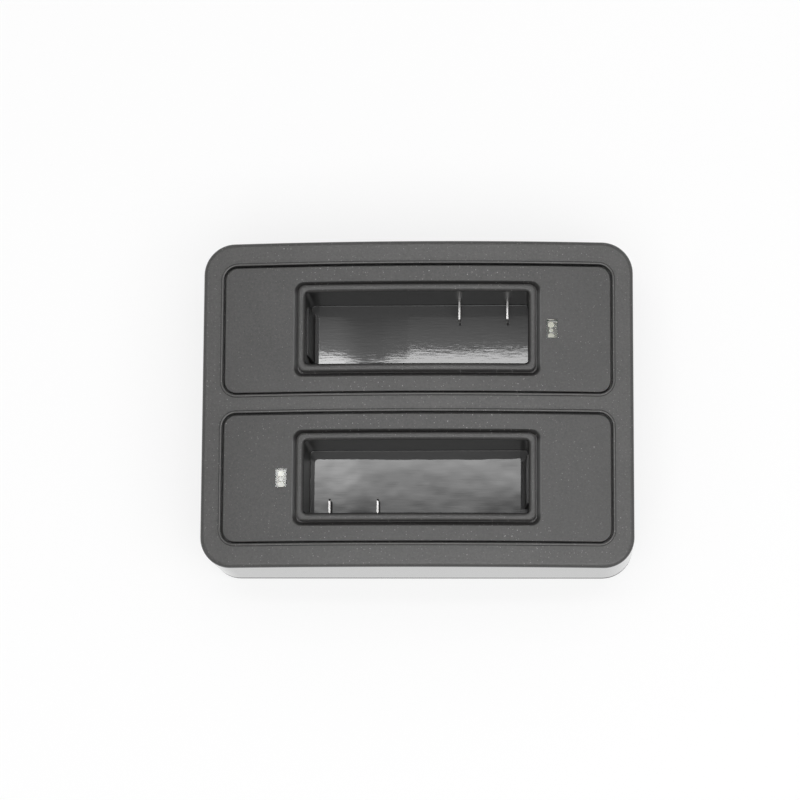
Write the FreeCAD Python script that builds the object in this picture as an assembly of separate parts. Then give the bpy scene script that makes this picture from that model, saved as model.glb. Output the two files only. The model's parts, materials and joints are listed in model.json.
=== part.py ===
import FreeCAD, Part
import math
import os

# A two-bay camera battery charger. Lengths are in millimetres.
# X runs along the case, Y from front to back, and Z up from the surface that the feet stand on.
# The origin is on that surface, under the middle of the case.
# Each bay is laid out about its own middle, with its contacts towards +Y. It is then moved to the back,
# and turned half round about the upright axis for the front.

Vector = FreeCAD.Vector
UP = Vector(0, 0, 1)

# Case
case_length = 75.0
case_depth = 57.0
case_height = 22.4
crown_drop = 2.75
case_corner = 5.4
case_edge = 0.8
case_wall = 2.0
seam_chamfer = 0.25

# Battery trays and the pockets that they drop into
tray_length = 67.16
tray_width = 22.16
tray_corner = 2.15
tray_pitch = 26.0
tray_plate = 1.6
tray_edge = 0.2
tray_gap = 0.26
ledge_width = 1.4
ledge_thick = 1.2
bead_width = 0.5
bead_rise = 0.4
bead_round = 0.24

# Wells in the trays
well_length = 38.7
well_width = 12.6
well_depth = 11.7
well_corner = 0.7
well_draft = 0.1
well_wall = 1.2
well_floor = 1.2
floor_round = 0.12
lip_width = 1.3
lip_rise = 1.25
lip_lead = 0.36
lip_lead_high = 0.62
lip_round = 0.42
lip_corner = 1.3
groove_width = 0.12
groove_depth = 1.05
groove_slope = 0.6
groove_slope_high = 0.95
groove_round = 0.3
groove_corner = 1.0
stop_width = 8.4
stop_drop = 4.45
stop_lead = 0.25
stop_reach = 1.4
stop_foot = 0.6
stop_foot_high = 0.2

# Hooks that hold a tray down
hook_width = 4.0
hook_spacing = 10.0
hook_thick = 1.0
hook_barb = 0.7
hook_high = 1.2
hook_clearance = 0.1

# Contact blades
contact_near = 7.1
contact_pitch = 8.45
blade_thick = 0.3
blade_high = 2.0
blade_above_floor = 0.9
blade_reach = 3.6
blade_nose = 0.4
leg_gap = 0.4
leg_width = 1.6
tail_width = 0.9
tail_past_board = 0.8
slot_clearance = 0.05

# Indicator windows, diodes and their boards
window_length = 3.2
window_width = 1.9
window_margin = 1.68
window_sink = 0.05
window_flange = 0.5
window_flange_thick = 0.3
window_clearance = 0.04
led_length = 3.2
led_width = 1.6
led_base = 0.5
led_lens_length = 2.0
led_lens_high = 0.6
led_lens_inset = 0.05
led_gap = 0.1
led_board_width = 8.0
led_board_thick = 1.0
led_board_clearance = 0.4
peg_spacing = 5.6
peg_radius = 0.9
peg_pin_radius = 0.6
peg_pin_clearance = 0.05
peg_head_radius = 1.0
peg_head_thick = 0.4

# Pin headers
pin_size = 0.64
pin_pitch = 2.54
pin_end = 0.7
pin_hole_radius = 0.5
pin_board_margin = 1.6
header_width = 2.5
header_high = 2.5
header_fit = 0.02

# Base cover
base_thick = 1.8
base_edge = 0.8
rim_height = 2.0
rim_wall = 1.2
rim_clearance = 0.15
label_length = 34.0
label_width = 13.0
label_depth = 0.3
label_corner = 2.0

# Feet
foot_stand = 0.6
foot_radius = 4.0
foot_seat = 0.6
foot_edge = 0.3
foot_clearance = 0.1
foot_inset_x = 15.0
foot_inset_y = 7.0

# Case screws and the bosses that take them
boss_inset = 3.2
boss_radius = 2.6
web_thick = 1.2
seat_lift = 0.1
case_screw_radius = 0.95
case_screw_length = 10.0
case_head_radius = 2.0
case_head_high = 1.5
case_head_sink = 0.2
screw_fit = 0.05
screw_pass = 0.25
head_pass = 0.25
bore_spare = 1.0
head_round = 0.5
point_length = 1.8
point_radius = 0.3
cross_length = 2.2
cross_width = 0.5
cross_depth = 0.7

# Main board, its posts and screws
board_thick = 1.6
board_stand = 2.6
board_gap = 0.5
board_corner = 1.5
post_radius = 2.4
post_margin = 1.2
post_y = 10.0
board_screw_radius = 0.8
board_screw_length = 4.6
board_head_radius = 1.75
board_head_high = 1.2

# Power inlet
inlet_width = 7.5
inlet_high = 2.6
inlet_length = 5.4
inlet_bevel = 0.9
inlet_wall = 0.3
inlet_clearance = 0.2
inlet_fit = 0.03
recess_width = 10.6
recess_high = 6.6
recess_corner = 1.6
recess_depth = 0.8
inlet_block = 1.7
tongue_width = 3.6
tongue_thick = 0.7
tongue_short = 0.7
leaf_count = 5
leaf_pitch = 0.65
leaf_width = 0.3
leaf_thick = 0.12

# Parts on the main board
chip_length = 4.9
chip_width = 3.9
chip_high = 1.4
chip_stand = 0.1
lead_count = 4
lead_pitch = 1.27
lead_width = 0.4
lead_thick = 0.2
lead_reach = 1.05
lead_foot = 0.6
choke_size = 5.0
choke_high = 2.8
choke_bevel = 0.9
choke_ring = 0.3
capacitor_base = 5.3
capacitor_base_high = 1.1
capacitor_bevel = 1.0
capacitor_radius = 2.5
capacitor_high = 5.4
capacitor_round = 0.4
chip_place_y = 4.0
choke_place_y = 5.0
capacitor_place_y = 15.0
resistor_size = (1.6, 0.8, 0.5)
ceramic_size = (2.0, 1.25, 0.9)
small_pitch = 3.2
small_count = 4
small_place_y = 3.5

# Levels worked out from the sizes above
split_z = foot_stand + base_thick
seat_z = split_z + rim_height + seat_lift
board_z = split_z + board_stand
board_top = board_z + board_thick
top_thick = tray_plate + ledge_thick
floor_z = case_height - well_depth
mouth_z = case_height + lip_rise
blade_z = floor_z + blade_above_floor
blade_top = blade_z + blade_high

# Half sizes and places worked out from the sizes above
inner_x = case_length / 2 - case_wall
inner_y = case_depth / 2 - case_wall
boss_x = inner_x - boss_inset
boss_y = inner_y - boss_inset
pocket_x = tray_length / 2 + tray_gap
pocket_y = tray_width / 2 + tray_gap
well_x = well_length / 2
well_y = well_width / 2
lip_x = well_x + lip_width
lip_y = well_y + lip_width
groove_x = lip_x + groove_width
groove_y = lip_y + groove_width
window_x = groove_x + window_margin + window_width / 2
hook_out = pocket_x - ledge_width - hook_clearance
hook_in = hook_out - hook_thick
leg_y = well_y + well_wall + leg_gap
contact_places = (contact_near, contact_near + contact_pitch)
led_board_x0 = well_x + well_wall + led_board_clearance
led_board_x1 = hook_in - led_board_clearance
pin_x = led_board_x1 - pin_board_margin
peg_x = (window_x + pin_x) / 2
end_x = (well_x + well_wall + inner_x) / 2
post_x = well_x + well_wall + post_margin + board_head_radius
crown_radius = ((case_length / 2) ** 2 + crown_drop ** 2) / (2 * crown_drop)

# A length past every piece, and the tolerance of a comparison
far = case_length
tiny = 1e-3


def crown_at(x, below=0.0):
    """Height of the crown at x, lowered by below."""
    return case_height - below - crown_radius + math.sqrt(crown_radius ** 2 - x ** 2)


def block(x0, x1, y0, y1, z0, z1):
    """A box between two corners."""
    return Part.makeBox(x1 - x0, y1 - y0, z1 - z0, Vector(x0, y0, z0))


def outline(half_x, half_y, radius, z):
    """A rectangle with round corners, centred on the upright axis at height z."""
    edges = []
    turns = ((1, 1), (-1, 1), (-1, -1), (1, -1))
    ends = []
    for number, (sx, sy) in enumerate(turns):
        centre = Vector(sx * (half_x - radius), sy * (half_y - radius), z)
        angles = [math.pi / 2 * number + math.pi / 4 * step for step in range(3)]
        points = [centre + Vector(radius * math.cos(a), radius * math.sin(a), 0) for a in angles]
        ends.append(points)
    for number, points in enumerate(ends):
        following = ends[(number + 1) % len(ends)]
        edges.append(Part.Arc(*points).toShape())
        edges.append(Part.LineSegment(points[-1], following[0]).toShape())
    return Part.Wire(edges)


def prism(half_x, half_y, radius, z0, z1):
    """An upright prism on a rectangle with round corners."""
    return Part.Face(outline(half_x, half_y, radius, z0)).extrude(UP * (z1 - z0))


def tapered(half_x, half_y, radius, z_top, z_low, draft):
    """A prism whose four sides lean in by draft between z_top and z_low."""
    wide = outline(half_x, half_y, radius, z_top)
    narrow = outline(half_x - draft, half_y - draft, radius, z_low)
    return Part.makeLoft([wide, narrow], True, True)


def profile(points, along):
    """A flat polygon pushed along a vector."""
    return Part.Face(Part.makePolygon([*points, points[0]])).extrude(along)


def under_crown(below):
    """Everything under the crown lowered by below, over the whole plan."""
    end = case_length / 2 + case_wall
    left = Vector(-end, -far, crown_at(end, below))
    right = Vector(end, -far, crown_at(end, below))
    middle = Vector(0, -far, crown_at(0, below))
    low_left = Vector(-end, -far, -far)
    low_right = Vector(end, -far, -far)
    edges = [Part.Arc(left, middle, right).toShape()]
    for first, last in ((right, low_right), (low_right, low_left), (low_left, left)):
        edges.append(Part.LineSegment(first, last).toShape())
    return Part.Face(Part.Wire(edges)).extrude(Vector(0, 2 * far, 0))


def crown_edges(shape, below, half_x=case_length, half_y=case_depth):
    """Edges that lie on the crown lowered by below, and no further out than half_x and half_y."""
    found = []
    for edge in shape.Edges:
        points = edge.discretize(5)
        on_crown = all(abs(p.z - crown_at(p.x, below)) < tiny for p in points)
        inside = all(abs(p.x) < half_x + tiny and abs(p.y) < half_y + tiny for p in points)
        if on_crown and inside:
            found.append(edge)
    return found


def edges_between(shape, low, high):
    """Edges that lie whole between two heights."""
    found = []
    for edge in shape.Edges:
        box = edge.BoundBox
        if box.ZMin > low - tiny and box.ZMax < high + tiny:
            found.append(edge)
    return found


def moved(shape, x=0.0, y=0.0, z=0.0):
    """A copy of a shape, moved."""
    copy = shape.copy()
    copy.translate(Vector(x, y, z))
    return copy


def turned(shape, axis=UP):
    """A copy of a shape, turned half round about an axis through the origin."""
    copy = shape.copy()
    copy.rotate(Vector(0, 0, 0), axis, 180)
    return copy


def four(x, y):
    """The four places at plus and minus x and y."""
    return [(sx * x, sy * y) for sx in (-1, 1) for sy in (-1, 1)]


def in_rear(shape):
    """A bay's shape at the back of the case."""
    return moved(shape, y=tray_pitch / 2)


def in_front(shape):
    """A bay's shape at the front of the case, turned half round."""
    return turned(in_rear(shape))


def inlet_outline(grow, y):
    """The inlet's face, grown by grow: a rectangle with its two lower corners cut."""
    half = inlet_width / 2 + grow
    low = board_top - grow
    high = board_top + inlet_high + grow
    bevel = inlet_bevel
    return [Vector(-half, y, high), Vector(-half, y, low + bevel), Vector(-half + bevel, y, low),
            Vector(half - bevel, y, low), Vector(half, y, low + bevel), Vector(half, y, high)]


def screw(head_radius, head_high, shank_radius, length):
    """A pan-head screw on the upright axis, with its head under z = 0 and its shank pointing up."""
    head = Part.makeCylinder(head_radius, head_high, Vector(0, 0, -head_high))
    head = head.makeFillet(head_round, edges_between(head, -head_high, -head_high))
    shank = Part.makeCylinder(shank_radius, length - point_length)
    tip = Part.makeCone(shank_radius, point_radius, point_length, Vector(0, 0, length - point_length))
    long = cross_length / 2
    thin = cross_width / 2
    for half_x, half_y in ((long, thin), (thin, long)):
        head = head.cut(block(-half_x, half_x, -half_y, half_y, -head_high, cross_depth - head_high))
    return head.fuse([shank, tip]).removeSplitter()


def make_top_case():
    """The crowned upper case: top with two pockets, side walls and four screw bosses."""
    shell = prism(case_length / 2, case_depth / 2, case_corner, split_z, far)
    shell = shell.common(under_crown(0))
    shell = shell.makeFillet(case_edge, crown_edges(shell, 0))
    shell = shell.makeChamfer(seam_chamfer, edges_between(shell, split_z, split_z))
    hollow = prism(inner_x, inner_y, case_corner - case_wall, split_z, case_height)
    shell = shell.cut(hollow.common(under_crown(top_thick)))

    bead = prism(pocket_x + bead_width, pocket_y + bead_width, tray_corner + tray_gap + bead_width, 0, far)
    bead = bead.cut(prism(pocket_x, pocket_y, tray_corner + tray_gap, 0, far))
    bead = bead.common(under_crown(-bead_rise)).cut(under_crown(tray_plate))
    bead = bead.makeFillet(bead_round, crown_edges(bead, -bead_rise))
    pocket = prism(pocket_x, pocket_y, tray_corner + tray_gap, 0, far).cut(under_crown(tray_plate))
    inner_corner = tray_corner + tray_gap - ledge_width
    through = prism(pocket_x - ledge_width, pocket_y - ledge_width, inner_corner, split_z, far)
    for place in (in_rear, in_front):
        shell = shell.fuse(place(bead)).cut(place(pocket)).cut(place(through))

    ceiling = under_crown(top_thick)
    for x, y in four(boss_x, boss_y):
        boss = Part.makeCylinder(boss_radius, case_height - seat_z, Vector(x, y, seat_z))
        wall_x = math.copysign(inner_x + case_wall / 2, x)
        wall_y = math.copysign(inner_y + case_wall / 2, y)
        half = web_thick / 2
        web_x = block(min(x, wall_x), max(x, wall_x), y - half, y + half, seat_z, case_height)
        web_y = block(x - half, x + half, min(y, wall_y), max(y, wall_y), seat_z, case_height)
        shell = shell.fuse([piece.common(ceiling) for piece in (boss, web_x, web_y)])
        bore = case_screw_length - (seat_z - screw_seat_z) + bore_spare
        shell = shell.cut(Part.makeCylinder(case_screw_radius + screw_fit, bore, Vector(x, y, seat_z)))

    back = case_depth / 2
    opening = profile(inlet_outline(inlet_clearance, inner_y - case_wall), Vector(0, 2 * case_wall, 0))
    recess = prism(recess_width / 2, recess_high / 2, recess_corner, 0, recess_depth)
    recess.rotate(Vector(0, 0, 0), Vector(1, 0, 0), 90)
    recess.translate(Vector(0, back, board_top + inlet_high / 2))
    return shell.cut([opening, recess]).removeSplitter()


def make_base_cover():
    """The bottom cover: plate, locating rim, board posts, screw seats, foot seats and a shallow label field."""
    plate = prism(case_length / 2, case_depth / 2, case_corner, foot_stand, split_z)
    plate = plate.makeFillet(base_edge, edges_between(plate, foot_stand, foot_stand))
    plate = plate.makeChamfer(seam_chamfer, edges_between(plate, split_z, split_z))

    rim_x = inner_x - rim_clearance
    rim_y = inner_y - rim_clearance
    rim_corner = case_corner - case_wall - rim_clearance
    rim = prism(rim_x, rim_y, rim_corner, split_z, split_z + rim_height)
    rim = rim.cut(prism(rim_x - rim_wall, rim_y - rim_wall, rim_corner - rim_wall, split_z, far))
    cover = plate.fuse(rim)
    for x, y in four(boss_x, boss_y):
        cover = cover.fuse(Part.makeCylinder(boss_radius, seat_z - split_z, Vector(x, y, split_z)))
    for x, y in four(post_x, post_y):
        cover = cover.fuse(Part.makeCylinder(post_radius, board_stand, Vector(x, y, split_z)))

    cuts = []
    for x, y in four(boss_x, boss_y):
        cuts.append(Part.makeCylinder(case_screw_radius + screw_pass, far, Vector(x, y, 0)))
        cuts.append(Part.makeCylinder(case_head_radius + head_pass, screw_seat_z, Vector(x, y, 0)))
    depth = board_screw_length - board_thick + screw_fit
    for x, y in four(post_x, post_y):
        cuts.append(Part.makeCylinder(board_screw_radius + screw_fit, depth, Vector(x, y, board_z - depth)))
    for x, y in four(case_length / 2 - foot_inset_x, case_depth / 2 - foot_inset_y):
        cuts.append(Part.makeCylinder(foot_radius + foot_clearance, foot_stand + foot_seat, Vector(x, y, 0)))
    cuts.append(prism(label_length / 2, label_width / 2, label_corner, 0, foot_stand + label_depth))
    return cover.cut(cuts).removeSplitter()


def make_well_space():
    """The hollow of a well, from its floor to above its mouth, with a rounded foot."""
    hollow = tapered(well_x, well_y, well_corner, mouth_z, floor_z, well_draft)
    return hollow.makeFillet(floor_round, edges_between(hollow, floor_z, floor_z))


def make_end_stop():
    """The ramped pad at the far end of a well, which pushes the battery onto its contacts."""
    root = -well_x - well_wall / 2
    top = mouth_z - stop_drop
    low = floor_z - well_floor / 2
    lead = -well_x + stop_lead
    reach = -well_x + stop_reach
    points = [(root, top), (lead, top), (reach - stop_foot, floor_z + stop_foot_high), (reach, floor_z),
              (reach, low), (root, low)]
    pad = profile([Vector(x, 0, z) for x, z in points], Vector(0, stop_width, 0))
    return moved(pad, y=-stop_width / 2)


def make_hooks():
    """Four hooks under the ends of a tray, which catch under the pocket's ledge."""
    hooks = []
    catch = crown_at(hook_out + hook_barb, top_thick) - hook_clearance
    root = crown_at(hook_out, tray_plate / 2)
    points = [Vector(hook_in, 0, root), Vector(hook_out, 0, root), Vector(hook_out, 0, catch),
              Vector(hook_out + hook_barb, 0, catch), Vector(hook_out, 0, catch - hook_high),
              Vector(hook_in, 0, catch - hook_high)]
    one = moved(profile(points, Vector(0, hook_width, 0)), y=-hook_width / 2)
    for y in (-hook_spacing / 2, hook_spacing / 2):
        hooks.append(moved(one, y=y))
        hooks.append(moved(turned(one), y=y))
    return hooks


def make_pegs():
    """Two pegs under a tray that carry the diode's board, with heads formed over it."""
    pegs = []
    for y in (-peg_spacing / 2, peg_spacing / 2):
        shoulder = crown_at(peg_x, tray_plate / 2) - led_board_top
        pegs.append(Part.makeCylinder(peg_radius, shoulder, Vector(peg_x, y, led_board_top)))
        reach = led_board_thick + peg_head_thick
        pegs.append(Part.makeCylinder(peg_pin_radius, reach, Vector(peg_x, y, led_board_top - reach)))
        pegs.append(Part.makeCylinder(peg_head_radius, peg_head_thick, Vector(peg_x, y, led_board_top - reach)))
    return pegs


def make_tray():
    """A battery tray: crowned plate, well with a grooved lip, end stop, hooks and pegs, in one moulding."""
    under_plate = under_crown(tray_plate)
    space = make_well_space()
    above = prism(well_x, well_y, well_corner, mouth_z, far)
    plate = prism(tray_length / 2, tray_width / 2, tray_corner, 0, far).common(under_crown(0)).cut(under_plate)
    plate = plate.makeFillet(tray_edge, crown_edges(plate, 0))
    plate = plate.cut(prism(groove_x, groove_y, groove_corner, 0, far).cut(under_crown(groove_depth)))
    plate = plate.makeChamfer(groove_slope, groove_slope_high, crown_edges(plate, 0, groove_x, groove_y))
    sloped = crown_edges(plate, 0, groove_x + groove_slope, groove_y + groove_slope)
    plate = plate.makeFillet(groove_round, sloped)

    lip = prism(lip_x, lip_y, lip_corner, 0, far).common(under_crown(-lip_rise))
    lip = lip.cut([under_plate, space, above])
    lip = lip.makeChamfer(lip_lead, lip_lead_high, crown_edges(lip, -lip_rise, well_x, well_y))
    lip = lip.makeFillet(lip_round, crown_edges(lip, -lip_rise))

    well_low = floor_z - well_floor
    lean = well_draft * (mouth_z - well_low) / (mouth_z - floor_z)
    well = tapered(well_x + well_wall, well_y + well_wall, well_corner + well_wall, mouth_z, well_low, lean)
    well = well.common(under_crown(groove_depth))

    tray = plate.fuse([well, lip]).cut([space, above])
    tray = tray.fuse(make_end_stop()).fuse(make_hooks()).fuse(make_pegs())
    half = blade_thick / 2 + slot_clearance
    cuts = []
    for x in contact_places:
        cuts.append(block(x - half, x + half, well_y - well_wall, well_y + 2 * well_wall,
                          blade_z - slot_clearance, blade_top + slot_clearance))
    half_x = window_width / 2 + window_clearance
    half_y = window_length / 2 + window_clearance
    cuts.append(block(window_x - half_x, window_x + half_x, -half_y, half_y, led_board_top, far))
    return tray.cut(cuts).removeSplitter()


def make_contact(x):
    """A stamped contact blade: it reaches through the well's wall and stands on the main board with a tail."""
    tip = well_y - blade_reach
    nose = tip + blade_nose
    back = leg_y + leg_width
    tail = leg_y + leg_width / 2 - tail_width / 2
    tail_back = tail + tail_width
    tail_end = board_z - tail_past_board
    points = [(tip, blade_z + blade_nose), (nose, blade_z), (leg_y, blade_z), (leg_y, board_top),
              (tail, board_top), (tail, tail_end), (tail_back, tail_end), (tail_back, board_top),
              (back, board_top), (back, blade_top), (nose, blade_top), (tip, blade_top - blade_nose)]
    shape = profile([Vector(0, y, z) for y, z in points], Vector(blade_thick, 0, 0))
    return moved(shape, x=x - blade_thick / 2)


def make_window():
    """A clear indicator window: a bar that fills the tray's slot, with a flange under the plate."""
    half_x = window_width / 2
    half_y = window_length / 2
    bar = block(window_x - half_x, window_x + half_x, -half_y, half_y, window_low, far)
    bar = bar.common(under_crown(window_sink))
    wide = half_x + window_flange
    long = half_y + window_flange
    flange = block(window_x - wide, window_x + wide, -long, long, window_low, far)
    return bar.fuse(flange.common(under_crown(tray_plate))).removeSplitter()


def make_led():
    """A surface-mount diode: base with its end pads, and a moulded lens."""
    half_x = led_width / 2
    half_y = led_length / 2
    base = block(window_x - half_x, window_x + half_x, -half_y, half_y, led_board_top, led_board_top + led_base)
    lens_x = half_x - led_lens_inset
    lens_y = led_lens_length / 2
    top = led_board_top + led_base + led_lens_high
    lens = block(window_x - lens_x, window_x + lens_x, -lens_y, lens_y, led_board_top + led_base, top)
    return base.fuse(lens).removeSplitter()


def make_led_board():
    """The small board that carries a diode, with holes for its pegs and header pins."""
    low = led_board_top - led_board_thick
    half = led_board_width / 2
    board = block(led_board_x0, led_board_x1, -half, half, low, led_board_top)
    cuts = []
    for y in (-peg_spacing / 2, peg_spacing / 2):
        cuts.append(Part.makeCylinder(peg_pin_radius + peg_pin_clearance, far, Vector(peg_x, y, 0)))
    for y in (-pin_pitch / 2, pin_pitch / 2):
        cuts.append(Part.makeCylinder(pin_hole_radius, far, Vector(pin_x, y, 0)))
    return board.cut(cuts)


def make_header_pins():
    """Two square pins that join a diode's board to the main board."""
    half = pin_size / 2
    low = board_z - pin_end
    high = led_board_top + pin_end
    pins = []
    for y in (-pin_pitch / 2, pin_pitch / 2):
        pins.append(block(pin_x - half, pin_x + half, y - half, y + half, low, high))
    return Part.makeCompound(pins)


def make_header_body():
    """The plastic bar that holds the header's pins, standing on the main board."""
    half_x = header_width / 2
    body = block(pin_x - half_x, pin_x + half_x, -pin_pitch, pin_pitch, board_top, board_top + header_high)
    half = pin_size / 2 + header_fit
    for y in (-pin_pitch / 2, pin_pitch / 2):
        body = body.cut(block(pin_x - half, pin_x + half, y - half, y + half, 0, far))
    return body


def make_main_board():
    """The main circuit board, notched round the case's bosses, with holes for pins, tails and screws."""
    half_x = inner_x - board_gap
    half_y = inner_y - board_gap
    board = prism(half_x, half_y, board_corner, board_z, board_top)
    cuts = []
    notch_x = boss_x - boss_radius - board_gap
    notch_y = boss_y - boss_radius - board_gap
    for sx, sy in four(1, 1):
        x0, x1 = sorted((sx * notch_x, sx * far))
        y0, y1 = sorted((sy * notch_y, sy * far))
        cuts.append(block(x0, x1, y0, y1, 0, far))
    for x, y in four(post_x, post_y):
        cuts.append(Part.makeCylinder(board_screw_radius + screw_pass, far, Vector(x, y, 0)))
    half = blade_thick / 2 + slot_clearance
    tail = leg_y + leg_width / 2
    reach = tail_width / 2 + slot_clearance
    for place in (in_rear, in_front):
        for x in contact_places:
            cuts.append(place(block(x - half, x + half, tail - reach, tail + reach, 0, far)))
        for y in (-pin_pitch / 2, pin_pitch / 2):
            cuts.append(place(Part.makeCylinder(pin_hole_radius, far, Vector(pin_x, y, 0))))
    return board.cut(cuts)


def make_inlet_shell():
    """The inlet's steel shell, open at both ends, standing on the main board behind the back wall's opening."""
    back = inlet_front - inlet_length
    tube = profile(inlet_outline(0, back), Vector(0, inlet_length, 0))
    return tube.cut(profile(inlet_outline(-inlet_wall, back), Vector(0, inlet_length, 0)))


def make_inlet_tongue():
    """The inlet's plastic block, which closes the shell's back and carries the tongue."""
    back = inlet_front - inlet_length
    body = profile(inlet_outline(-inlet_wall - inlet_fit, back), Vector(0, inlet_block, 0))
    half = tongue_width / 2
    tongue = block(-half, half, back, inlet_front - tongue_short, tongue_z, tongue_z + tongue_thick)
    return body.fuse(tongue).removeSplitter()


def make_inlet_contacts():
    """The contact leaves on the under side of the inlet's tongue."""
    start = inlet_front - inlet_length + inlet_block
    end = inlet_front - tongue_short
    half = leaf_width / 2
    leaves = []
    for number in range(leaf_count):
        x = (number - (leaf_count - 1) / 2) * leaf_pitch
        leaves.append(block(x - half, x + half, start, end, tongue_z - leaf_thick, tongue_z))
    return Part.makeCompound(leaves)


def make_chip():
    """A small charge-control chip with bent leads along its two long sides, over the origin."""
    body = block(-chip_length / 2, chip_length / 2, -chip_width / 2, chip_width / 2,
                 board_top + chip_stand, board_top + chip_stand + chip_high)
    side = chip_width / 2
    high = board_top + chip_stand + chip_high / 2
    toe = side + lead_reach
    heel = toe - lead_foot
    points = [(0, high), (heel + lead_thick, high), (heel + lead_thick, board_top + lead_thick),
              (toe, board_top + lead_thick), (toe, board_top), (heel, board_top), (heel, high - lead_thick),
              (0, high - lead_thick)]
    lead = profile([Vector(0, y, z) for y, z in points], Vector(lead_width, 0, 0))
    leads = []
    for number in range(lead_count):
        x = (number - (lead_count - 1) / 2) * lead_pitch - lead_width / 2
        leads.append(moved(lead, x=x))
        leads.append(turned(moved(lead, x=x)))
    return body.fuse(leads).removeSplitter()


def make_cut_square(size, bevel, z0, z1):
    """An upright block on a square with its corners cut."""
    half = size / 2
    near = half - bevel
    corners = [(half, -near), (half, near), (near, half), (-near, half), (-half, near), (-half, -near),
               (-near, -half), (near, -half)]
    return profile([Vector(x, y, z0) for x, y in corners], UP * (z1 - z0))


def make_choke():
    """A shielded choke: a square block with a round core let into its top."""
    top = board_top + choke_high
    body = make_cut_square(choke_size, choke_bevel, board_top, top)
    outer = choke_size / 2 - choke_bevel
    ring = Part.makeCylinder(outer, choke_ring, Vector(0, 0, top - choke_ring))
    ring = ring.cut(Part.makeCylinder(outer - choke_ring, choke_ring, Vector(0, 0, top - choke_ring)))
    return body.cut(ring)


def make_capacitor():
    """A small electrolytic capacitor: a can on a square base."""
    base = make_cut_square(capacitor_base, capacitor_bevel, board_top, board_top + capacitor_base_high)
    low = board_top + capacitor_base_high
    can = Part.makeCylinder(capacitor_radius, capacitor_high - capacitor_base_high, Vector(0, 0, low))
    top = board_top + capacitor_high
    can = can.makeFillet(capacitor_round, edges_between(can, top, top))
    return base.fuse(can).removeSplitter()


def make_small_parts(size, y):
    """A row of small chip parts across the middle of the main board."""
    long, wide, high = size
    parts = []
    for number in range(small_count):
        x = (number - (small_count - 1) / 2) * small_pitch
        parts.append(block(x - long / 2, x + long / 2, y - wide / 2, y + wide / 2, board_top, board_top + high))
    return Part.makeCompound(parts)


def make_foot():
    """A round rubber foot on the upright axis."""
    foot = Part.makeCylinder(foot_radius, foot_stand + foot_seat)
    return foot.makeFillet(foot_edge, edges_between(foot, 0, 0))


# Levels that follow the pieces which set them
screw_seat_z = foot_stand + case_head_high + case_head_sink
window_low = crown_at(window_x + window_width / 2 + window_flange, tray_plate) - window_flange_thick
led_board_top = window_low - led_gap - led_lens_high - led_base
inlet_front = case_depth / 2 - recess_depth
tongue_z = board_top + inlet_high / 2

os.makedirs("parts", exist_ok=True)


def save(name, shape):
    """Writes one piece."""
    shape.exportStep("parts/" + name + ".step")


save("top_case", make_top_case())
save("base_cover", make_base_cover())

bay_pieces = {
    "tray": make_tray(),
    "contact_inner": make_contact(contact_places[0]),
    "contact_outer": make_contact(contact_places[1]),
    "led_window": make_window(),
    "led": make_led(),
    "led_board": make_led_board(),
    "header_pins": make_header_pins(),
    "header_body": make_header_body(),
    "charge_chip": moved(make_chip(), x=-end_x, y=chip_place_y - tray_pitch / 2),
    "choke": moved(make_choke(), x=end_x, y=choke_place_y - tray_pitch / 2),
    "capacitor": moved(make_capacitor(), x=-end_x, y=capacitor_place_y - tray_pitch / 2),
}
for name, shape in bay_pieces.items():
    save("rear_" + name, in_rear(shape))
    save("front_" + name, in_front(shape))

save("main_board", make_main_board())
save("inlet_shell", make_inlet_shell())
save("inlet_tongue", make_inlet_tongue())
save("inlet_contacts", make_inlet_contacts())
save("chip_resistors", make_small_parts(resistor_size, small_place_y))
save("ceramic_capacitors", make_small_parts(ceramic_size, -small_place_y))

case_screw = screw(case_head_radius, case_head_high, case_screw_radius, case_screw_length)
case_screw = moved(case_screw, z=screw_seat_z)
save("case_screws", Part.makeCompound([moved(case_screw, x, y) for x, y in four(boss_x, boss_y)]))
board_screw = screw(board_head_radius, board_head_high, board_screw_radius, board_screw_length)
board_screw = moved(turned(board_screw, Vector(1, 0, 0)), z=board_top)
save("board_screws", Part.makeCompound([moved(board_screw, x, y) for x, y in four(post_x, post_y)]))

foot = make_foot()
for side_x, word_x in ((-1, "left"), (1, "right")):
    for side_y, word_y in ((-1, "front"), (1, "rear")):
        x = side_x * (case_length / 2 - foot_inset_x)
        y = side_y * (case_depth / 2 - foot_inset_y)
        save(word_y + "_" + word_x + "_foot", moved(foot, x, y))
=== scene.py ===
import json

import bpy
import numpy as np
from mathutils import Matrix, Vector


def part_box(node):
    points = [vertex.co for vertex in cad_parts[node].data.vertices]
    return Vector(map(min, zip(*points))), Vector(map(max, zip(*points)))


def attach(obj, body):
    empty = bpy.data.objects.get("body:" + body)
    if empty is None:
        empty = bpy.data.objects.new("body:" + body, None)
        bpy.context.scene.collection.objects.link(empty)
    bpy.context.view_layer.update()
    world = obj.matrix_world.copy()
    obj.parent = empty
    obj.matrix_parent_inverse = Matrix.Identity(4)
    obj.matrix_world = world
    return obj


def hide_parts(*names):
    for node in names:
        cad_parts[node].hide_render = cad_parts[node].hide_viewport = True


# Looks of a two-bay battery charger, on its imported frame. X runs along the case, Y from front to back, and Z up from
# the table. The finishes and the diodes are written in millimetres, the set in metres; MM is a millimetre in metres.

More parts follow.
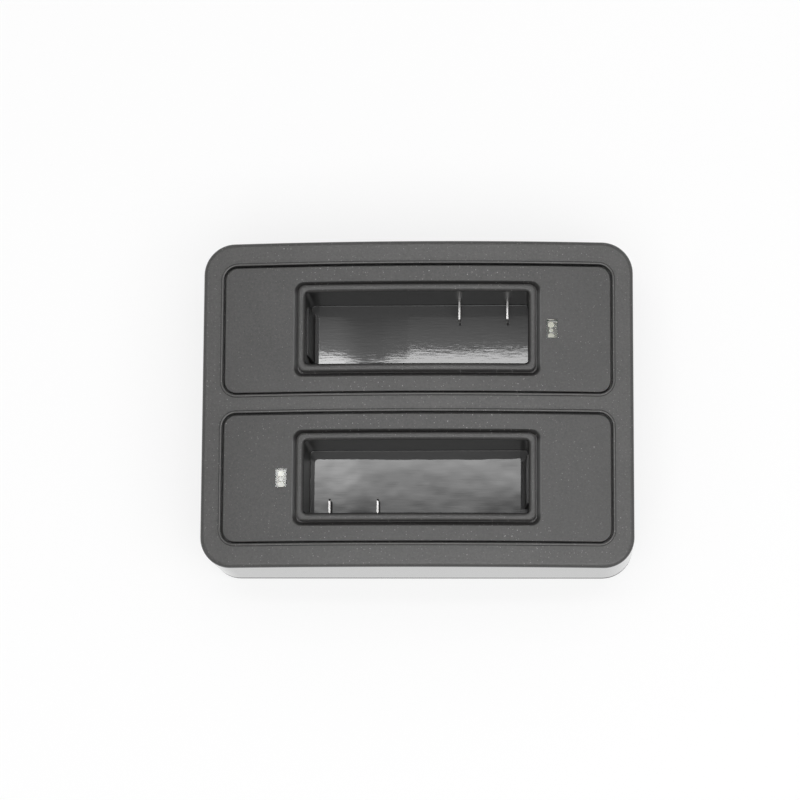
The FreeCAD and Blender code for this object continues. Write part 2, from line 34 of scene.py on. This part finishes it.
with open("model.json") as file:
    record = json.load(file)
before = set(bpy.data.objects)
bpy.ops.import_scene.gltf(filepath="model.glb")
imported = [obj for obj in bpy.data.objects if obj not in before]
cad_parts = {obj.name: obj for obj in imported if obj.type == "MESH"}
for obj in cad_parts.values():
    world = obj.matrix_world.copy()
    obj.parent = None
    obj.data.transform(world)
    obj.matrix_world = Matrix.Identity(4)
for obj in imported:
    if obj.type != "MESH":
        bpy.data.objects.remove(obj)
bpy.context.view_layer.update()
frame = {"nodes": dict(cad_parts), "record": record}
MM = 0.001
PLASTIC_IOR = 1.5

# Sizes of the case and trays that the finishes follow, measured from the middle of the case or of a well
BAY_Y = 13.0
WELL_X = 19.35
WELL_Y = 6.3
FLOOR_Z = 10.7
STOP_X = -17.9
LIP_X = WELL_X + 1.3
GROOVE_X = WELL_X + 2.1
OPENING_X = 33.84
OPENING_Y = 11.34
OPENING_CORNER = 2.41
BEAD = 0.5

# Sizes of a diode's pieces: half lengths along X and Y, heights, and places from the diode's middle or foot
BASE_X, BASE_Y, BASE_TALL = 0.79, 1.42, 0.46
BAR_X, BAR_Y, BAR_TALL, BAR_PLACE = 0.8, 0.085, 0.52, 1.515
TAB_X, TAB_Y, TAB_TALL, TAB_PLACE = 0.5, 0.46, 0.05, 0.95
DECK_PLACE = 0.47
CUP_RADIUS, CUP_DRAW, CUP_TALL, CUP_ARC = 0.35, 0.33, 0.14, 1.35
LENS_X, LENS_Y, LENS_PLACE, LENS_CLEAR = 0.76, 1.4, 0.53, 0.01
SMALLEST_CORNER = 0.02
SHARP_ANGLE = 0.7

# The camera, in radians, millimetres and the photograph's pixels
CAMERA_RISE, CAMERA_TURN, CAMERA_ROLL = 1.4049679, 0.3251717, -0.3236253
CAMERA_SHIFT_X, CAMERA_SHIFT_Y, CAMERA_DISTANCE = 3.9917, -3.8325, 540.2463
CAMERA_FOCAL = 3002.59058
PHOTO_WIDTH = 800
SENSOR_WIDTH = 36.0


class Wire:
    """A node's output that joins in arithmetic. Each operator adds one Math node and gives its output."""

    def __init__(self, nodes, socket):
        self.nodes = nodes
        self.socket = socket

    def maths(self, operation, *values):
        return self.nodes.add("ShaderNodeMath", {"operation": operation}, dict(enumerate(values)))

    def __add__(self, other):
        return self.maths("ADD", self, other)

    __radd__ = __add__

    def __sub__(self, other):
        return self.maths("SUBTRACT", self, other)

    def __rsub__(self, other):
        return self.maths("SUBTRACT", other, self)

    def __mul__(self, other):
        return self.maths("MULTIPLY", self, other)

    __rmul__ = __mul__

    def __truediv__(self, other):
        return self.maths("DIVIDE", self, other)

    def __pow__(self, other):
        return self.maths("POWER", self, other)

    def __abs__(self):
        return self.maths("ABSOLUTE", self)

    def least(self, other):
        return self.maths("MINIMUM", self, other)

    def most(self, other):
        return self.maths("MAXIMUM", self, other)

    def step(self, low, high):
        """0 below low, 1 above high, and a smooth rise between them; low may be the larger, for a fall."""
        if low > high:
            return 1 - self.step(high, low)
        settings = {"interpolation_type": "SMOOTHSTEP"}
        return self.nodes.add("ShaderNodeMapRange", settings, {"Value": self, "From Min": low, "From Max": high})


class Nodes:
    """The node tree of a material or the world."""

    def __init__(self, owner):
        owner.use_nodes = True
        self.tree = owner.node_tree

    def put(self, socket, value):
        """Links a wire to a socket, or sets the socket's own value."""
        if isinstance(value, Wire):
            self.tree.links.new(value.socket, socket)
        elif socket.type == "RGBA":
            socket.default_value = (*value, 1.0)
        else:
            socket.default_value = value

    def add(self, kind, settings=None, inputs=None, output=0):
        """A new node of a kind: its settings are set first, then its sockets' values or links. Gives one output."""
        node = self.tree.nodes.new(kind)
        for name, value in (settings or {}).items():
            setattr(node, name, value)
        for name, value in (inputs or {}).items():
            self.put(node.inputs[name], value)
        return Wire(self, node.outputs[output])


class Finish(Nodes):
    """A material with one Principled shader. Object coordinates come in millimetres, whole and as x, y and z."""

    def __init__(self, name, **constants):
        self.material = bpy.data.materials.new(name)
        super().__init__(self.material)
        self.shader = self.tree.nodes["Principled BSDF"]
        self.shade(**constants)
        place = self.add("ShaderNodeTexCoord", output="Object")
        self.place = self.add("ShaderNodeVectorMath", {"operation": "SCALE"}, {0: place, "Scale": 1 / MM})
        self.x, self.y, self.z = (self.part(self.place, axis) for axis in range(3))

    def shade(self, **sockets):
        """Sets or links the shader's sockets; an underscore in a name stands for a space."""
        for name, value in sockets.items():
            self.put(self.shader.inputs[name.replace("_", " ")], value)

    def part(self, vector, axis):
        return self.add("ShaderNodeSeparateXYZ", None, {0: vector}, axis)

    def facing(self):
        """How far the surface faces up: 1 level, 0 upright."""
        return self.part(self.add("ShaderNodeNewGeometry", output="Normal"), 2)

    def seen(self):
        """1 for a ray from the camera, or one mirrored or let through towards it; 0 for a ray that only lights."""
        kinds = ("Camera", "Glossy", "Transmission")
        straight, mirrored, through = (self.add("ShaderNodeLightPath", output=f"Is {kind} Ray") for kind in kinds)
        return straight.most(mirrored).most(through)

    def stretched(self, size, shift=(0.0, 0.0, 0.0)):
        """Object coordinates counted in lumps of a size, given as one length or three, in millimetres."""
        sizes = np.broadcast_to(np.asarray(size, float), 3)
        settings = {"operation": "MULTIPLY_ADD"}
        return self.add("ShaderNodeVectorMath", settings, {0: self.place, 1: tuple(1 / sizes), 2: shift})

    def noise(self, size, detail=2.0, roughness=0.5, shift=(0.0, 0.0, 0.0)):
        """Cloudy noise from 0 to 1, about a half on average, in lumps of a size."""
        inputs = {"Vector": self.stretched(size, shift), "Scale": 1.0, "Detail": detail, "Roughness": roughness}
        return self.add("ShaderNodeTexNoise", {"noise_dimensions": "3D"}, inputs)

    def flecks(self, size, share, radius, shift=(0.0, 0.0, 0.0)):
        """Small dots, one in a share of the cells of a size, each of a radius that differs from cell to cell."""
        inputs = {"Vector": self.stretched(size, shift), "Scale": 1.0}
        cells = self.add("ShaderNodeTexVoronoi", {"voronoi_dimensions": "2D"}, inputs)
        colour = Wire(self, cells.socket.node.outputs["Color"])
        chance, big = (self.add("ShaderNodeSeparateColor", None, {0: colour}, channel) for channel in (0, 1))
        reach = radius / size * (0.45 + 0.55 * big)
        return (1 - cells / reach).step(0.0, 0.5) * chance.step(1 - share, 1 - share + 0.02)

    def tint(self, factor, first, second):
        """A colour between two, by a factor from 0 to 1."""
        return self.add("ShaderNodeMix", {"data_type": "RGBA"}, {0: factor, 6: first, 7: second}, 2)

    def outside(self, half_x, half_y, corner):
        """The distance outside a rectangle with round corners about each bay: the length of what x and y have beyond
        the centre of the corner's circle, less the corner's radius."""
        over_x = (abs(self.x) - (half_x - corner)).most(0.0)
        over_y = (abs(abs(self.y) - BAY_Y) - (half_y - corner)).most(0.0)
        return (over_x * over_x + over_y * over_y) ** 0.5 - corner

    def relief(self, height):
        """Turns a height in thousandths of a millimetre into the shader's normal."""
        thousandth = 0.001 * MM
        normal = self.add("ShaderNodeBump", None, {"Strength": 1.0, "Distance": thousandth, "Height": height})
        self.shade(Normal=normal)


def grey(level, warm=0.0):
    """A near-neutral colour of a level, warmed towards red by a share."""
    return (level * (1 + warm), level, level * (1 - warm))


def spark_grain(finish):
    """The height of a spark-eroded mould's fine grain, about zero: two sizes of noise together."""
    coarse = finish.noise(0.42, detail=2.0, roughness=0.6)
    fine = finish.noise(0.2, detail=1.0, roughness=0.5, shift=(3.1, 7.7, 1.9))
    coarse_height, fine_height = 26.0, 16.0
    return (coarse - 0.5) * coarse_height + (fine - 0.5) * fine_height


def dusty_grey(finish, dark, light, grain, caught):
    """The colour of textured black plastic: its grain, slow drifts of tone, and pale and dark specks of dust. The pale
    ones lie thicker in drifts, and where dust is caught, by a share."""
    drift = finish.noise(9.0, detail=2.0, roughness=0.5, shift=(5.0, 2.0, 0.0))
    grain_tone, drift_tone = 0.06, 0.7
    tone = (grain * grain_tone + (drift - 0.5) * drift_tone + 0.5).least(1.0).most(0.0)
    plain = finish.tint(tone, dark, light)
    swept = finish.noise(6.0, detail=2.0, roughness=0.6, shift=(1.0, 4.0, 0.0)).step(0.42, 0.62)
    large = finish.flecks(1.1, share=0.34, radius=0.13)
    small = finish.flecks(0.7, share=0.3, radius=0.1, shift=(0.2, 0.8, 0.0))
    pale = (large + small) * (0.3 + 0.5 * swept + caught)
    deep = finish.flecks(0.9, share=0.3, radius=0.16, shift=(0.37, 0.61, 0.0))
    pale_cover, pale_most, deep_cover = 0.42, 0.8, 0.4
    dusted = finish.tint((pale * pale_cover).least(pale_most), plain, grey(0.34, warm=0.02))
    return finish.tint(deep * deep_cover, dusted, grey(0.02))


def case_plastic():
    """Black plastic, spark-grained where it faces up, smoother on the beads round the openings, and polished on the
    side walls."""
    finish = Finish("case_plastic", IOR=PLASTIC_IOR)
    top = finish.facing().step(0.45, 0.9)
    bead = finish.outside(OPENING_X, OPENING_Y, OPENING_CORNER).step(BEAD + 0.06, BEAD - 0.06)
    grain = spark_grain(finish)
    wave = finish.noise(14.0, detail=1.0)
    smear = finish.noise(0.5, detail=2.0)
    colour = dusty_grey(finish, grey(0.045, warm=0.012), grey(0.07, warm=0.022), grain, caught=0.25)
    finish.shade(Base_Color=finish.tint(top, grey(0.025), colour),
                 Roughness=top * (0.36 - bead * 0.14) + 0.05 + smear * 0.06,
                 Coat_Weight=(1 - top) * 0.22)
    finish.relief(grain * top * (0.6 - bead * 0.4) + wave * (1 - top) * 3.0)
    return finish.material


def floor_height(finish, rear, streak):
    """How the wells' polished floors lie. The rear floor leans across Y by a slope that changes along X, which bends
    the edge of the light mirrored in it; the front floor is dished and wavier. Fine streaks run along both."""
    sink = finish.x.step(-15.0, -9.5) * finish.x.step(-4.5, -9.5)
    dip = finish.x.step(-9.0, -6.5) * finish.x.step(-1.6, -2.6)
    right_slope, sink_slope, dip_slope = 0.7, 2.5, 1.3
    slope = right_slope - finish.x.step(0.0, -10.0) * right_slope - sink * sink_slope - dip * dip_slope
    lean = rear * (finish.y - BAY_Y) * slope
    dish = (1 - rear) * (finish.y + BAY_Y) ** 2 * -0.22
    wave = finish.noise((9.0, 7.0, 60.0), detail=2.0, roughness=0.45, shift=(1.3, 0.2, 0.0))
    comb = finish.noise((3.0, 0.3, 4.0), detail=2.0, roughness=0.6, shift=(0.7, 0.1, 0.0))
    front_wave, rear_wave = 42.0, 3.0
    return lean + dish + wave * (front_wave - rear * (front_wave - rear_wave)) + streak * 0.5 + comb * 0.7


def tray_plastic():
    """The trays' black plastic: spark-grained above, satin on the wells' walls and polished on their floors. The
    grooves at the wells' ends are painted a lighter grey, a painted light that makes their shade less deep."""
    finish = Finish("tray_plastic", IOR=PLASTIC_IOR)
    end = abs(finish.x)
    across = abs(abs(finish.y) - BAY_Y)
    inside = end.step(WELL_X + 0.12, WELL_X - 0.02) * across.step(WELL_Y + 0.12, WELL_Y - 0.02)
    rear = finish.y.step(-1.0, 1.0)
    along = finish.x * (rear * 2.0 - 1.0)
    level = finish.facing().step(0.9, 0.99) * finish.z.step(FLOOR_Z + 0.5, FLOOR_Z + 0.1)
    floor = inside * level * along.step(STOP_X - 0.05, STOP_X + 0.05)
    wall = inside * (1 - floor)

    grain = spark_grain(finish)
    caught = across.step(WELL_Y, WELL_Y + 1.5) * end.step(WELL_X + 7.0, WELL_X)
    dusty = dusty_grey(finish, grey(0.034, warm=0.012), grey(0.056, warm=0.022), grain, caught * 0.6)
    # Painted light: the grooves at the wells' ends are tinted towards a lighter grey so that their shade looks less
    # deep.
    groove_end = end.step(LIP_X - 0.05, LIP_X + 0.05) * end.step(GROOVE_X + 0.15, GROOVE_X - 0.15)
    painted_groove_light = groove_end * across.step(WELL_Y + 1.0, WELL_Y - 0.5)
    upper = finish.tint(painted_groove_light * 0.8, dusty, grey(0.16))
    lower = finish.tint(floor, grey(0.017), grey(0.03))

    streak = finish.noise((1.6, 0.5, 4.0), detail=2.0, roughness=0.6)
    smear = finish.noise(0.5, detail=2.0)
    finish.shade(Base_Color=finish.tint(inside, upper, lower),
                 Roughness=(1 - inside) * (0.4 + smear * 0.06) + wall * 0.36 + floor * 0.022)
    finish.relief(grain * (1 - inside) * 0.6 + floor * floor_height(finish, rear, streak) + wall * streak * 2.0)
    return finish.material


def base_plastic():
    """The bottom cover's black plastic, with a coarser even grain all over."""
    finish = Finish("base_plastic", IOR=PLASTIC_IOR)
    grain = finish.noise(0.4, detail=3.0, roughness=0.6)
    drift = finish.noise(11.0, detail=2.0)
    finish.shade(Base_Color=finish.tint(drift, grey(0.036), grey(0.05)), Roughness=grain * 0.2 + 0.42)
    finish.relief((grain - 0.5) * 14.0)
    return finish.material


def contact_metal():
    """Nickel-plated sheet metal with fine rolling lines along the blade."""
    finish = Finish("contact_metal", Metallic=1.0)
    lines = finish.noise((0.4, 3.0, 0.06), detail=2.0, roughness=0.6)
    spots = finish.noise(0.6, detail=3.0, roughness=0.6)
    finish.shade(Base_Color=finish.tint(spots, grey(0.42, warm=0.02), grey(0.5, warm=0.01)),
                 Roughness=lines * 0.16 + 0.32)
    finish.relief((lines - 0.5) * 1.5)
    return finish.material


def clear_material(name, index, colour, lump):
    """Clear plastic or epoxy of a refractive index, with a faint haze in lumps of a size."""
    finish = Finish(name, IOR=index, Transmission_Weight=1.0, Base_Color=colour)
    haze = finish.noise(lump, detail=2.0)
    finish.shade(Roughness=haze * 0.04)
    return finish.material


def board_laminate():
    """Green solder mask over copper tracks, which show as slightly raised, lighter lanes."""
    finish = Finish("board_laminate", IOR=PLASTIC_IOR)
    lanes = finish.noise((2.4, 7.0, 9.0), detail=0.0).step(0.5, 0.54)
    mottle = finish.noise(0.9, detail=3.0)
    plain = finish.tint(lanes, (0.009, 0.036, 0.017), (0.016, 0.066, 0.03))
    finish.shade(Base_Color=finish.tint(mottle * 0.3, plain, (0.008, 0.025, 0.012)), Roughness=mottle * 0.12 + 0.22)
    finish.relief(lanes * 18.0 + mottle * 2.0)
    return finish.material


def plated_pins():
    """Gold-flashed pins with fine drawing lines."""
    finish = Finish("plated_pins", Metallic=1.0)
    lines = finish.noise((0.08, 0.08, 2.0), detail=2.0)
    finish.shade(Base_Color=finish.tint(lines, (0.72, 0.52, 0.22), (0.86, 0.66, 0.32)), Roughness=lines * 0.15 + 0.2)
    finish.relief(lines * 1.2)
    return finish.material


def moulded_black(name, level, rough, lump):
    """A small black moulding: fine mould texture of a lump size."""
    finish = Finish(name, IOR=PLASTIC_IOR)
    grain = finish.noise(lump, detail=3.0, roughness=0.6)
    drift = finish.noise(lump * 9, detail=2.0)
    finish.shade(Base_Color=finish.tint(drift, grey(level * 0.75), grey(level * 1.25)), Roughness=grain * 0.2 + rough)
    finish.relief((grain - 0.5) * 8.0)
    return finish.material


def tinned_metal(name, level, lump, rough):
    """Plated sheet or turned metal with lines of a lump size and a slow drift of brightness."""
    finish = Finish(name, Metallic=1.0)
    lines = finish.noise(lump, detail=2.0, roughness=0.6)
    drift = finish.noise(1.8, detail=2.0)
    finish.shade(Base_Color=finish.tint(drift, grey(level * 0.88), grey(level * 1.06, warm=0.01)),
                 Roughness=lines * 0.18 + rough)
    finish.relief((lines - 0.5) * 2.5)
    return finish.material


def sintered(name, first, second, lump, rough):
    """A fired or pressed body with a granular colour."""
    finish = Finish(name, IOR=PLASTIC_IOR)
    grain = finish.noise(lump, detail=4.0, roughness=0.7)
    finish.shade(Base_Color=finish.tint(grain, first, second), Roughness=grain * 0.2 + rough)
    finish.relief((grain - 0.5) * 6.0)
    return finish.material


def mottled(name, first, second, lump, height):
    """A diode's laminate or soldered pad: mottled between two colours in lumps of a size, and as much raised."""
    finish = Finish(name, IOR=PLASTIC_IOR)
    mottle = finish.noise(lump, detail=3.0)
    finish.shade(Base_Color=finish.tint(mottle, first, second), Roughness=mottle * 0.2 + 0.3)
    finish.relief(mottle * height)
    return finish.material


def diode_cup():
    """The bright reflector cup under the diode's lens."""
    finish = Finish("led_cup", IOR=PLASTIC_IOR)
    mottle = finish.noise(0.2, detail=2.0)
    finish.shade(Base_Color=finish.tint(mottle, (0.96, 0.96, 0.9), (0.99, 0.99, 0.95)), Roughness=mottle * 0.1 + 0.25)
    return finish.material


finishes = {
    "case_plastic": case_plastic(),
    "tray_plastic": tray_plastic(),
    "base_plastic": base_plastic(),
    "contact_metal": contact_metal(),
    "clear_plastic": clear_material("clear_plastic", index=1.49, colour=(0.985, 0.99, 0.98), lump=0.8),
    "led_package": mottled("led_package", (0.05, 0.05, 0.03), (0.1, 0.1, 0.066), lump=0.35, height=1.5),
    "board_laminate": board_laminate(),
    "plated_pins": plated_pins(),
    "black_moulding": moulded_black("black_moulding", level=0.03, rough=0.4, lump=0.25),
    "chip_package": moulded_black("chip_package", level=0.035, rough=0.45, lump=0.18),
    "foot_rubber": moulded_black("foot_rubber", level=0.028, rough=0.6, lump=0.3),
    "ferrite": sintered("ferrite", grey(0.07), grey(0.13), lump=0.2, rough=0.6),
    "resistor_body": sintered("resistor_body", grey(0.02), grey(0.05), lump=0.25, rough=0.35),
    "ceramic_body": sintered("ceramic_body", (0.34, 0.22, 0.11), (0.48, 0.33, 0.18), lump=0.15, rough=0.4),
    "capacitor_can": tinned_metal("capacitor_can", level=0.78, lump=(0.6, 0.6, 0.05), rough=0.28),
    "inlet_steel": tinned_metal("inlet_steel", level=0.72, lump=(0.05, 0.8, 0.05), rough=0.24),
    "screw_steel": tinned_metal("screw_steel", level=0.66, lump=(0.12, 0.12, 0.5), rough=0.28),
}
for part in frame["record"]["subparts"]:
    for slot in frame["nodes"][part["node"]].material_slots:
        slot.material = finishes[part["material_slot"]]

diode_pad_finish = mottled("led_pads", (0.86, 0.85, 0.78), (0.96, 0.95, 0.89), lump=0.3, height=2.0)
diode_cup_finish = diode_cup()
diode_lens_finish = clear_material("led_lens", index=1.2, colour=(0.99, 0.99, 0.95), lump=0.5)


def skin(name, rings, material):
    """A closed skin over rings of points from below up: neighbouring rings are joined by four-sided faces, and the
    first and last ring are each closed by one flat face. The piece rides on the body."""
    count, around, _ = rings.shape
    index = np.arange(count * around).reshape(count, around)
    low, high = index[:-1], index[1:]
    sides = np.stack([low, np.roll(low, -1, 1), np.roll(high, -1, 1), high], axis=-1).reshape(-1, 4)
    faces = [*sides.tolist(), index[0][::-1].tolist(), index[-1].tolist()]
    mesh = bpy.data.meshes.new(name)
    mesh.from_pydata(rings.reshape(-1, 3).tolist(), [], faces)
    mesh.shade_smooth()
    mesh.set_sharp_from_angle(angle=SHARP_ANGLE)
    mesh.materials.append(material)
    piece = bpy.data.objects.new(name, mesh)
    bpy.context.scene.collection.objects.link(piece)
    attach(piece, "root")
    return piece


def slab_rings(centre, half_x, half_y, corner, profile, turn=8):
    """Rings of a slab: at each height of its profile, a rectangle with round corners, drawn in by that height's inset.
    A ring's point at an angle is the centre of its quarter's corner circle plus the circle's radius towards that
    angle."""
    quarter = np.repeat(np.arange(4), turn)
    angle = (quarter + np.tile(np.linspace(0, 1, turn), 4)) * np.pi / 2
    side_x = np.where((quarter == 0) | (quarter == 3), 1.0, -1.0)
    side_y = np.where(quarter < 2, 1.0, -1.0)
    insets, heights = (values[:, None] for values in profile)
    radius = np.maximum(corner - insets, SMALLEST_CORNER)
    x = side_x * (half_x - insets - radius) + radius * np.cos(angle)
    y = side_y * (half_y - insets - radius) + radius * np.sin(angle)
    z = np.broadcast_to(heights, x.shape)
    return (np.stack([x, y, z], axis=-1) + centre) * MM


def round_over(height, edge, steps=6):
    """The profile of a slab, as insets and heights: an upright wall and a top edge rounded by a quarter circle."""
    angle = np.linspace(0, np.pi / 2, steps)
    insets = np.concatenate([[0.0], edge * (1 - np.cos(angle))])
    heights = np.concatenate([[0.0], height - edge + edge * np.sin(angle)])
    return insets, heights


def bowl():
    """The profile of a diode's cup, as insets and heights: an arc that starts upright and leans in as it rises, by one
    less the cosine and by the sine of its angle."""
    angle = np.linspace(0, 1, 8) * CUP_ARC
    return CUP_DRAW * (1 - np.cos(angle)), CUP_TALL * np.sin(angle)


def make_diode(bay, sign, aside):
    """A diode in its node's place: a base, an end bar and a round tab at each end, a bright cup, and a lens over it.
    The tabs and the cup sit aside of the middle by a length along X."""
    node = f"{bay}_led"
    low, high = (np.array(corner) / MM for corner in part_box(node))
    middle = (low + high) / 2
    foot = np.array([middle[0], middle[1], low[2]])
    deck = foot + np.array([aside, 0.0, DECK_PLACE])
    top = foot + np.array([0.0, 0.0, LENS_PLACE])
    base = slab_rings(foot, BASE_X, BASE_Y, corner=0.06, profile=round_over(BASE_TALL, edge=0.04))
    pieces = [skin(f"{bay}_diode_base", base, finishes["led_package"])]
    for end, word in ((sign, "far"), (-sign, "near")):
        bar_place = foot + np.array([0.0, end * BAR_PLACE, 0.0])
        tab_place = deck + np.array([0.0, end * TAB_PLACE, 0.0])
        bar = slab_rings(bar_place, BAR_X, BAR_Y, corner=0.05, profile=round_over(BAR_TALL, edge=0.05))
        tab = slab_rings(tab_place, TAB_X, TAB_Y, corner=0.4, profile=round_over(TAB_TALL, edge=0.03), turn=12)
        pieces.append(skin(f"{bay}_diode_{word}_bar", bar, diode_pad_finish))
        pieces.append(skin(f"{bay}_diode_{word}_tab", tab, diode_pad_finish))
    cup = slab_rings(deck, CUP_RADIUS, CUP_RADIUS, corner=CUP_RADIUS, profile=bowl(), turn=12)
    pieces.append(skin(f"{bay}_diode_cup", cup, diode_cup_finish))
    lens_tall = high[2] - low[2] - LENS_PLACE - LENS_CLEAR
    lens = slab_rings(top, LENS_X, LENS_Y, corner=0.2, profile=round_over(lens_tall, edge=0.16))
    pieces.append(skin(f"{bay}_diode_lens", lens, diode_lens_finish))
    for piece in pieces:
        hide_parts(node)


make_diode("rear", sign=1, aside=-0.22)
make_diode("front", sign=-1, aside=-0.1)


def make_sheet(name, x_limits, y_limits, height, material):
    """A flat level sheet between limits along X and Y, at a height, for the set around the charger. It faces down
    where both pairs of limits rise, and up where one of them falls."""
    (x0, x1), (y0, y1) = x_limits, y_limits
    corners = np.array([[x0, y0, height], [x0, y1, height], [x1, y1, height], [x1, y0, height]])
    mesh = bpy.data.meshes.new(name)
    mesh.from_pydata(corners.tolist(), [], [(0, 1, 2, 3)])
    mesh.materials.append(material)
    sheet = bpy.data.objects.new(name, mesh)
    bpy.context.scene.collection.objects.link(sheet)
    return sheet


def make_table():
    """A wide pale table top, a hair under the feet so that no faces coincide. It partly glows for the rays that are
    seen, so that it looks near white without lighting the charger more."""
    half, level, glow_share = 4.0, -0.02 * MM, 0.76
    finish = Finish("table", Base_Color=grey(0.8), Roughness=0.9, Specular_IOR_Level=0.1)
    lit = Wire(finish, finish.shader.outputs[0])
    glow = finish.add("ShaderNodeEmission", None, {"Color": grey(1.0), "Strength": 1.0})
    both = finish.add("ShaderNodeMixShader", None, {0: finish.seen() * glow_share, 1: lit, 2: glow})
    finish.put(finish.tree.nodes["Material Output"].inputs["Surface"], both)
    table = make_sheet("table", (half, -half), (-half, half), level, finish.material)


def softbox(name, centre, size_x, size_y, radiance):
    """A soft lamp that faces straight down, of a size and an even brightness."""
    lamp = bpy.data.lights.new(name, "AREA")
    lamp.shape = "RECTANGLE"
    lamp.size, lamp.size_y = size_x, size_y
    lamp.energy = radiance * np.pi * size_x * size_y
    holder = bpy.data.objects.new(name, lamp)
    holder.location = centre
    holder.visible_camera = False
    bpy.context.scene.collection.objects.link(holder)


def light_card(name, dim, bright, radiance):
    """A glowing card overhead, dark at one edge across Y and rising to its full brightness at the other. The
    brightness is one less the distance to the bright edge, as a share of the depth, to the power of 1.05,
    and a quarter less right of the charger's left end."""
    half_x, height, fall = 0.32, 0.9, 1.05
    finish = Finish(name, Base_Color=grey(0.0), Roughness=1.0, Specular_IOR_Level=0.0, Emission_Strength=radiance)
    rise = 1 - ((bright / MM - finish.y) / ((bright - dim) / MM)) ** fall
    level = rise * (0.75 + 0.25 * finish.x.step(-65.0, -85.0))
    finish.shade(Emission_Color=finish.tint(level, grey(0.0), grey(1.0)))
    card = make_sheet(name, (-half_x, half_x), (dim, bright), height, finish.material)
    card.visible_camera = False


def light_the_set():
    """A dim surround, a broad soft lamp over the front, a soft fill over the back, and between them two cards that
    meet at their bright edges: a narrow bright strip and, behind it, a dimmer one that fades out."""
    world = bpy.data.worlds.new("surround")
    bpy.context.scene.world = world
    nodes = Nodes(world)
    backdrop = nodes.tree.nodes["Background"]
    nodes.put(backdrop.inputs["Color"], grey(1.0))
    nodes.put(backdrop.inputs["Strength"], 0.43)
    softbox("broad_softbox", (0.28, -0.42, 0.9), size_x=1.3, size_y=0.75, radiance=3.0)
    softbox("rear_fill", (0.1, 0.35, 0.9), size_x=1.1, size_y=0.3, radiance=1.0)
    light_card("strip_card", dim=0.07, bright=0.165, radiance=16.5)
    light_card("fade_card", dim=0.195, bright=0.1651, radiance=2.9)


def place_camera():
    """A long lens above and a little in front, turned as the photograph was taken."""
    back = np.array([np.sin(CAMERA_TURN) * np.cos(CAMERA_RISE), -np.cos(CAMERA_TURN) * np.cos(CAMERA_RISE),
                     np.sin(CAMERA_RISE)])
    level = np.array([np.cos(CAMERA_TURN), np.sin(CAMERA_TURN), 0.0])
    upright = np.cross(back, level)
    right = np.cos(CAMERA_ROLL) * level + np.sin(CAMERA_ROLL) * upright
    up = np.cos(CAMERA_ROLL) * upright - np.sin(CAMERA_ROLL) * level
    lens = bpy.data.cameras.new("camera")
    lens.sensor_width = SENSOR_WIDTH
    lens.lens = SENSOR_WIDTH * CAMERA_FOCAL / PHOTO_WIDTH
    lens.clip_start, lens.clip_end = 0.01, 20.0
    camera = bpy.data.objects.new("camera", lens)
    pose = np.eye(4)
    pose[:3, :3] = np.stack([right, up, back], axis=1)
    pose[:3, 3] = (back * CAMERA_DISTANCE - right * CAMERA_SHIFT_X - up * CAMERA_SHIFT_Y) * MM
    camera.matrix_world = Matrix(pose.tolist())
    bpy.context.scene.collection.objects.link(camera)
    bpy.context.scene.camera = camera


place_camera()
make_table()
light_the_set()
bpy.context.scene.view_settings.view_transform = "Standard"
